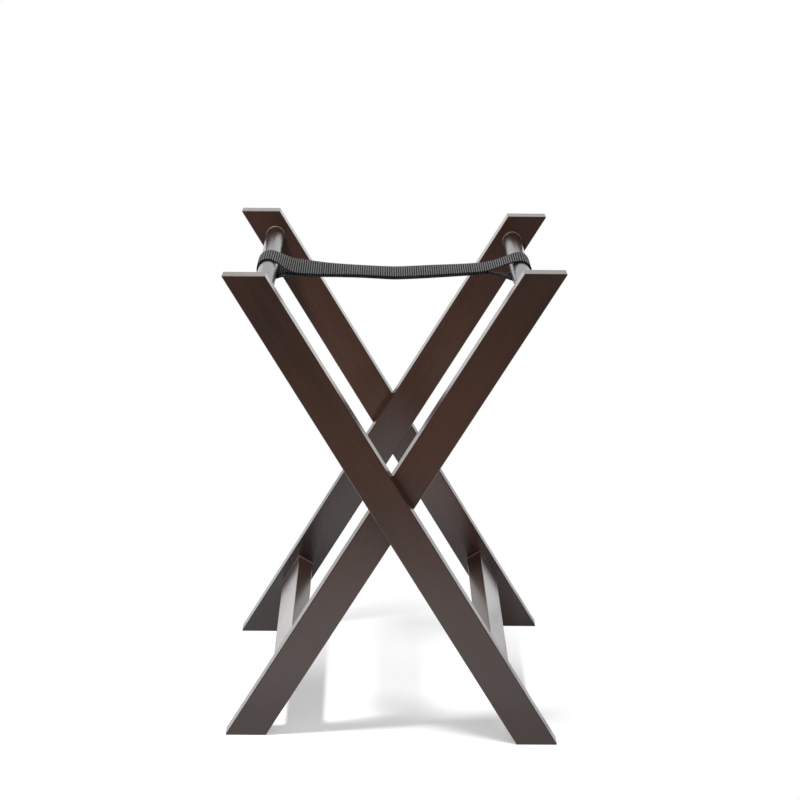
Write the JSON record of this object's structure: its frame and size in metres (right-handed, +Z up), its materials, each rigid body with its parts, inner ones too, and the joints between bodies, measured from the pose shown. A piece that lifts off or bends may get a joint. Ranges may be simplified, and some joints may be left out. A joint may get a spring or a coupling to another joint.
{
  "type": "folding tray stand",
  "caption": "Folding tray stand in dark stained wood: crossed flat legs on hidden pivots, round top rails joined by a black webbing strap, flat low rails.",
  "frame": {"origin": "on the floor, at the middle of the stand's outline", "axes": "+X along the spread of the open legs, -Y to the front, +Z up; the pivots' axis runs along Y"},
  "size_m": [0.4166, 0.4, 0.6],
  "materials": {
    "stained_wood": "satin lacquer over a dark stain",
    "pin_wood": "plain",
    "bush_brass": "turned",
    "pivot_steel": "ground",
    "washer_nylon": "matte",
    "strap_webbing": "ribbed webbing",
    "strap_thread": "twisted thread"
  },
  "bodies": {
    "pivot_and_strap": {"front_pivot_pin": "pivot_steel", "rear_pivot_pin": "pivot_steel", "front_pivot_washer": "washer_nylon", "rear_pivot_washer": "washer_nylon", "webbing_strap": "strap_webbing", "strap_stitching": "strap_thread"},
    "outer_frame": {"front_outer_leg": "stained_wood", "rear_outer_leg": "stained_wood", "outer_top_dowel": "stained_wood", "outer_stretcher": "stained_wood", "outer_stretcher_pins": "pin_wood", "front_outer_bush": "bush_brass", "rear_outer_bush": "bush_brass"},
    "inner_frame": {"front_inner_leg": "stained_wood", "rear_inner_leg": "stained_wood", "inner_top_dowel": "stained_wood", "inner_stretcher": "stained_wood", "inner_stretcher_pins": "pin_wood", "front_inner_bush": "bush_brass", "rear_inner_bush": "bush_brass"}
  },
  "joints": [
    {"name": "outer_fold", "type": "hinge", "parent": "pivot_and_strap", "child": "outer_frame", "pos_m": [0, 0, 0.304], "axis": [0, 1, 0], "range_deg": [0, 26.5], "deforming": ["webbing_strap", "strap_stitching"]},
    {"name": "inner_fold", "type": "hinge", "parent": "pivot_and_strap", "child": "inner_frame", "pos_m": [0, 0, 0.304], "axis": [0, -1, 0], "range_deg": [0, 26.5], "deforming": ["webbing_strap", "strap_stitching"]}
  ],
  "couplings": [
    {"joint": "inner_fold", "follows": "outer_fold", "ratio": 1}
  ]
}
